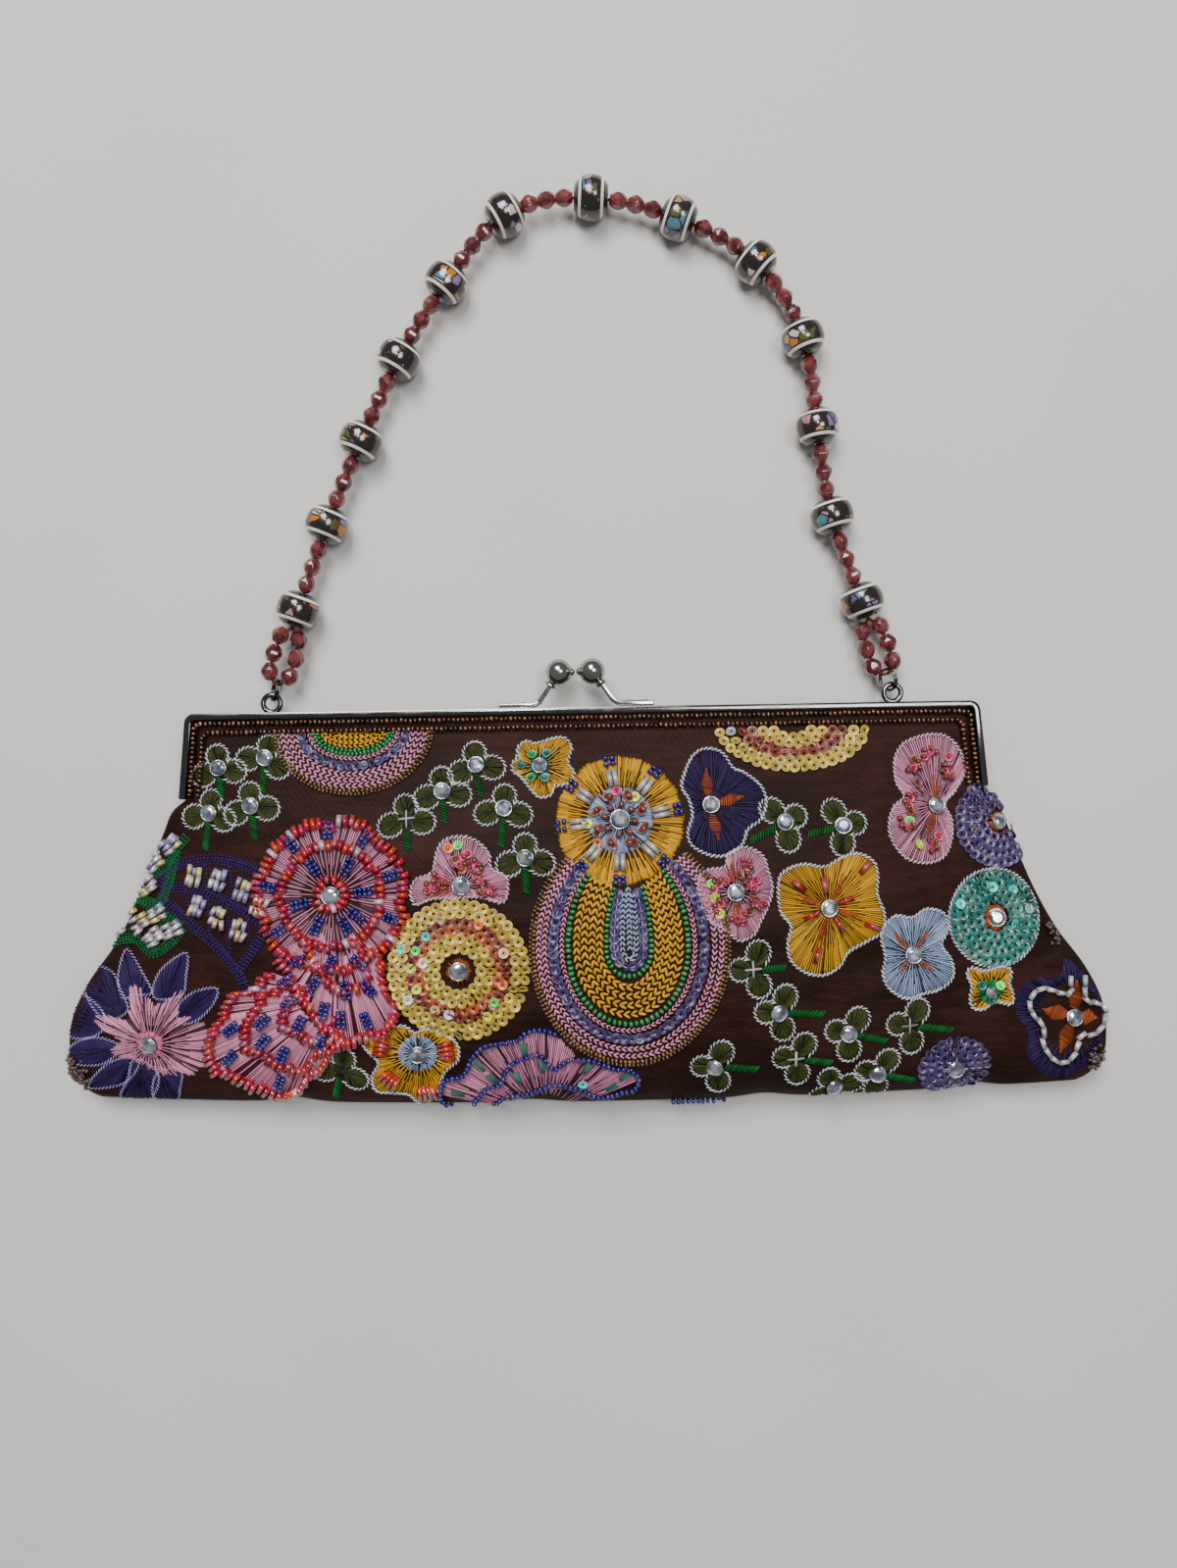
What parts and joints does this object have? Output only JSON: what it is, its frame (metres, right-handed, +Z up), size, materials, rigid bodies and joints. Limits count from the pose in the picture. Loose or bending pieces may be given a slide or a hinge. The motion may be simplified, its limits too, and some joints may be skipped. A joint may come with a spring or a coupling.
{
  "type": "evening bag",
  "caption": "Frame clutch of embroidered and beaded satin with a kiss-lock clasp and a strap of large and small beads, lying on its back with the strap laid out.",
  "frame": {"origin": "middle of the footprint, on the surface that the bag lies on", "axes": "+X along the frame, to the right in the picture; +Y from the bag towards the strap; +Z up from the surface, out of the bag's front"},
  "size_m": [0.31, 0.2774, 0.0257],
  "materials": {
    "satin": "dark brown satin with floral embroidery in thread, sequins, bugles and seed beads",
    "nickel": "polished nickel, slightly dulled",
    "bronze_beads": "metallic bronze seed beads",
    "faceted_beads": "faceted raspberry-brown glass",
    "large_beads": "glossy black-brown resin with inlaid bands of coloured chips"
  },
  "bodies": {
    "root": {"bag_front": "satin", "bag_back": "satin", "frame_front": "nickel", "frame_back": "nickel", "hinge_pin_left": "nickel", "hinge_pin_right": "nickel", "clasp_arm_front": "nickel", "clasp_ball_front": "nickel", "clasp_arm_back": "nickel", "clasp_ball_back": "nickel", "split_ring_left": "nickel", "split_ring_right": "nickel", "bead_border_front": "bronze_beads", "bead_border_back": "bronze_beads", "bead_string": "faceted_beads", "large_bead_01": "large_beads", "large_bead_02": "large_beads", "large_bead_03": "large_beads", "large_bead_04": "large_beads", "large_bead_05": "large_beads", "large_bead_06": "large_beads", "large_bead_07": "large_beads", "large_bead_08": "large_beads", "large_bead_09": "large_beads", "large_bead_10": "large_beads", "large_bead_11": "large_beads", "large_bead_12": "large_beads", "large_bead_13": "large_beads"}
  },
  "joints": []
}
